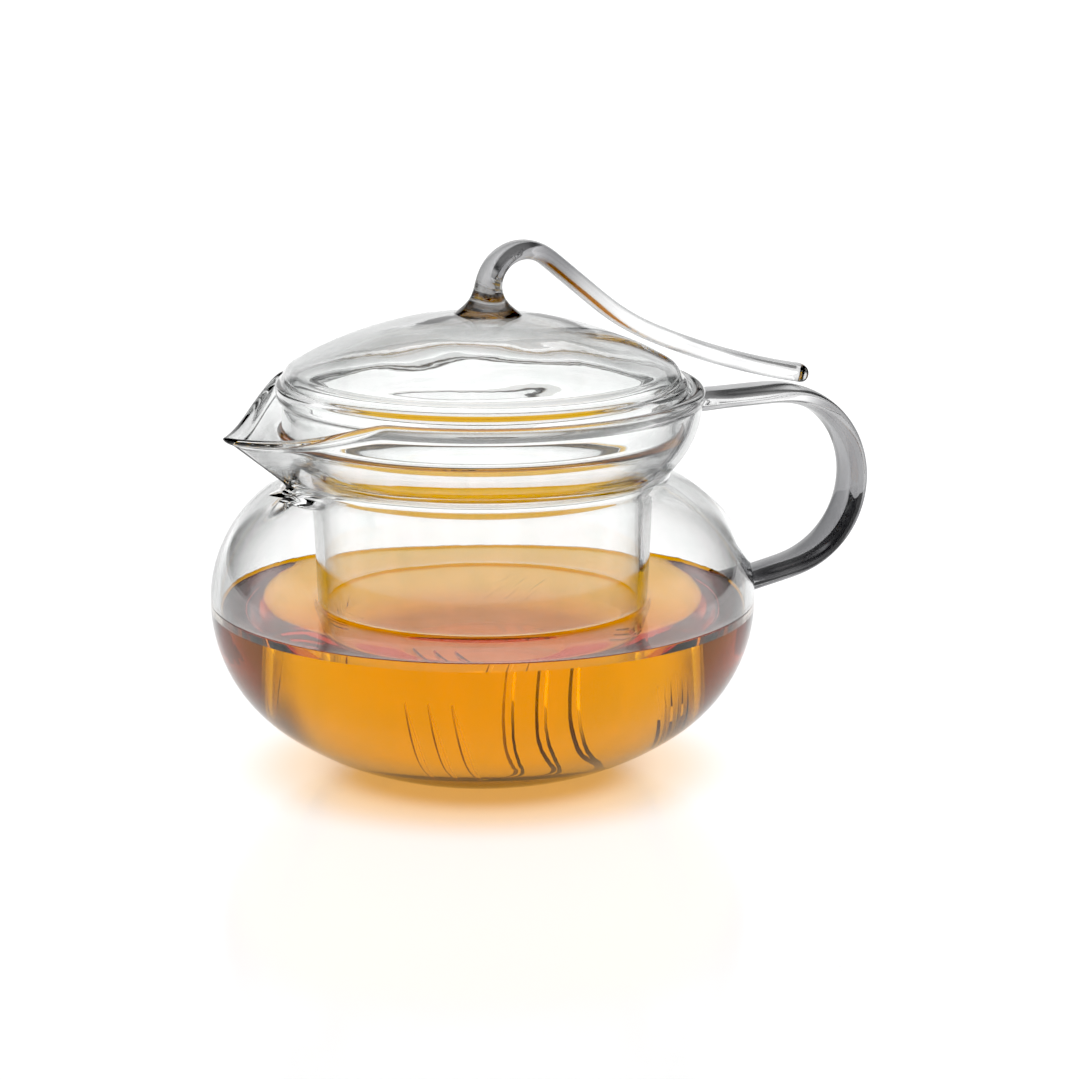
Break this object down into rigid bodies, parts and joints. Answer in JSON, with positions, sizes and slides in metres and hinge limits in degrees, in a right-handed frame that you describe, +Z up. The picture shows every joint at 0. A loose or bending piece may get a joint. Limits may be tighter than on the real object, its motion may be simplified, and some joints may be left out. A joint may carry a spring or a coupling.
{
  "type": "teapot infuser",
  "caption": "All-glass teapot with a round bowl, pinched pouring lip and strap handle, a lift-out slotted infuser, a domed lid with a swept handle, and amber tea.",
  "frame": {"origin": "centre of the foot, on the table", "axes": "+Z up along the pot's axis, +X towards the strap handle, -X towards the pouring lip"},
  "size_m": [0.1661, 0.13, 0.1269],
  "materials": {
    "clear_glass": "gloss",
    "infuser_glass": "gloss",
    "lid_glass": "gloss",
    "amber_tea": "gloss"
  },
  "bodies": {
    "pot": {"pot_bowl": "clear_glass", "pot_handle": "clear_glass", "tea_in_pot": "amber_tea"},
    "infuser": {"infuser_cup": "infuser_glass"},
    "lid": {"lid_dome": "lid_glass", "lid_handle": "lid_glass"}
  },
  "joints": [
    {"name": "infuser_lift", "type": "slide", "parent": "pot", "child": "infuser", "axis": [0, 0, 1], "range_m": [0, 0.095]},
    {"name": "lid_lift", "type": "slide", "parent": "infuser", "child": "lid", "axis": [0, 0, 1], "range_m": [0, 0.045]}
  ]
}
